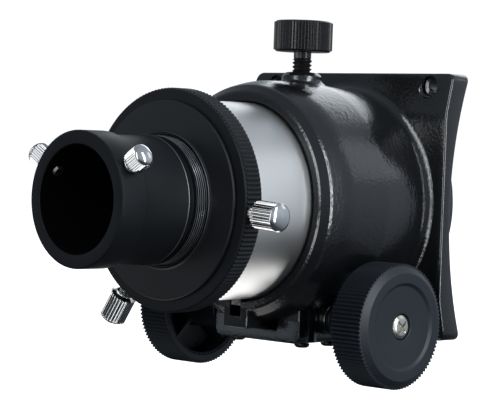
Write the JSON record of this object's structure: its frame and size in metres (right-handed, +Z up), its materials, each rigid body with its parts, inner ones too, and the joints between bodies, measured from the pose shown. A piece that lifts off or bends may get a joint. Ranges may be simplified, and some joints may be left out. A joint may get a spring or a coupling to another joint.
{
  "type": "telescope focuser",
  "caption": "Rack-and-pinion focuser for a reflector telescope: curved saddle, sliding drawtube, eyepiece holder, two focus knobs and a lock screw on top.",
  "frame": {"origin": "middle of the curved saddle face, on the optical axis, where the focuser sits on the telescope tube", "axes": "+Y along the optical axis into the telescope tube, +X towards the right-hand focus knob, +Z up towards the lock screw"},
  "size_m": [0.0978, 0.1273, 0.1123],
  "materials": {
    "cast_black_paint": "gloss black paint with a fine orange peel",
    "black_anodised": "satin black anodised, finely turned",
    "satin_aluminium": "satin clear anodised",
    "chrome": "polished, with a straight knurl",
    "nickel_steel": "nickel plated",
    "knob_plastic": "moulded, matt blue-black",
    "black_steel": "black oxide, satin",
    "black_nylon": "plain black nylon"
  },
  "bodies": {
    "housing": {"focuser_housing": "cast_black_paint", "pinion_bracket": "cast_black_paint", "front_guide_ring": "black_nylon", "rear_guide_ring": "black_nylon", "bracket_screw_1": "black_steel", "bracket_screw_2": "black_steel", "bracket_screw_3": "black_steel", "bracket_screw_4": "black_steel", "shaft_bush_left": "black_nylon", "shaft_bush_right": "black_nylon"},
    "drawtube": {"drawtube": "satin_aluminium", "rack": "black_steel", "rack_screw_1": "nickel_steel", "rack_screw_2": "nickel_steel", "eyepiece_ring": "black_anodised"},
    "pinion": {"pinion_shaft": "nickel_steel", "focus_knob_left": "knob_plastic", "focus_knob_right": "knob_plastic", "knob_screw_left": "nickel_steel", "knob_screw_right": "nickel_steel", "thrust_washer_left": "black_nylon", "thrust_washer_right": "black_nylon"},
    "adapter": {"eyepiece_adapter": "black_anodised"},
    "holder": {"eyepiece_holder": "black_anodised"},
    "lock_pad": {"lock_pad": "black_nylon"},
    "lock_screw": {"lock_screw": "black_steel"},
    "ring_screw_1_stud": {"ring_screw_1_stud": "nickel_steel"},
    "ring_screw_1_head": {"ring_screw_1_head": "chrome"},
    "ring_screw_2_stud": {"ring_screw_2_stud": "nickel_steel"},
    "ring_screw_2_head": {"ring_screw_2_head": "chrome"},
    "holder_screw_1_stud": {"holder_screw_1_stud": "nickel_steel"},
    "holder_screw_1_head": {"holder_screw_1_head": "chrome"},
    "holder_screw_2_stud": {"holder_screw_2_stud": "nickel_steel"},
    "holder_screw_2_head": {"holder_screw_2_head": "chrome"}
  },
  "joints": [
    {"name": "focus_slide", "type": "slide", "parent": "housing", "child": "drawtube", "axis": [0, -1, 0], "range_m": [-0.02, 0.022]},
    {"name": "pinion_turn", "type": "hinge", "parent": "housing", "child": "pinion", "pos_m": [0, -0.0288, -0.0359], "axis": [1, 0, 0], "range_deg": [-385, 425]},
    {"name": "adapter_pull", "type": "slide", "parent": "drawtube", "child": "adapter", "axis": [0, -1, 0], "range_m": [0, 0.026]},
    {"name": "holder_turn", "type": "hinge", "parent": "adapter", "child": "holder", "pos_m": [0, -0.08, 0], "axis": [0, 1, 0], "range_deg": [-180, 180]},
    {"name": "lock_slide", "type": "slide", "parent": "housing", "child": "lock_pad", "axis": [0, 0, 1], "range_m": [0, 0.003]},
    {"name": "lock_turn", "type": "hinge", "parent": "lock_pad", "child": "lock_screw", "pos_m": [0, -0.0245, 0.041], "axis": [0, 0, 1], "range_deg": [0, 851]},
    {"name": "ring_screw_1_slide", "type": "slide", "parent": "drawtube", "child": "ring_screw_1_stud", "axis": [0.9976, 0, -0.0698], "range_m": [0, 0.0021]},
    {"name": "ring_screw_1_turn", "type": "hinge", "parent": "ring_screw_1_stud", "child": "ring_screw_1_head", "pos_m": [0.0399, -0.0794, -0.00279], "axis": [0.9976, 0, -0.0698], "range_deg": [0, 1080]},
    {"name": "ring_screw_2_slide", "type": "slide", "parent": "drawtube", "child": "ring_screw_2_stud", "axis": [-0.5592, 0, -0.829], "range_m": [0, 0.0021]},
    {"name": "ring_screw_2_turn", "type": "hinge", "parent": "ring_screw_2_stud", "child": "ring_screw_2_head", "pos_m": [-0.02237, -0.0794, -0.03316], "axis": [-0.5592, 0, -0.829], "range_deg": [0, 1080]},
    {"name": "holder_screw_1_slide", "type": "slide", "parent": "holder", "child": "holder_screw_1_stud", "axis": [0.8572, 0, 0.515], "range_m": [0, 0.0021]},
    {"name": "holder_screw_1_turn", "type": "hinge", "parent": "holder_screw_1_stud", "child": "holder_screw_1_head", "pos_m": [0.02143, -0.113, 0.01288], "axis": [0.8572, 0, 0.515], "range_deg": [0, 1080]},
    {"name": "holder_screw_2_slide", "type": "slide", "parent": "holder", "child": "holder_screw_2_stud", "axis": [-0.8746, 0, 0.4848], "range_m": [0, 0.0021]},
    {"name": "holder_screw_2_turn", "type": "hinge", "parent": "holder_screw_2_stud", "child": "holder_screw_2_head", "pos_m": [-0.02187, -0.113, 0.01212], "axis": [-0.8746, 0, 0.4848], "range_deg": [0, 1080]}
  ],
  "couplings": [
    {"joint": "pinion_turn", "follows": "focus_slide", "rad_per_m": 333.33},
    {"joint": "lock_turn", "follows": "lock_slide", "rad_per_m": 4947.4},
    {"joint": "ring_screw_1_turn", "follows": "ring_screw_1_slide", "rad_per_m": 8975.9},
    {"joint": "ring_screw_2_turn", "follows": "ring_screw_2_slide", "rad_per_m": 8975.9},
    {"joint": "holder_screw_1_turn", "follows": "holder_screw_1_slide", "rad_per_m": 8975.9},
    {"joint": "holder_screw_2_turn", "follows": "holder_screw_2_slide", "rad_per_m": 8975.9}
  ]
}
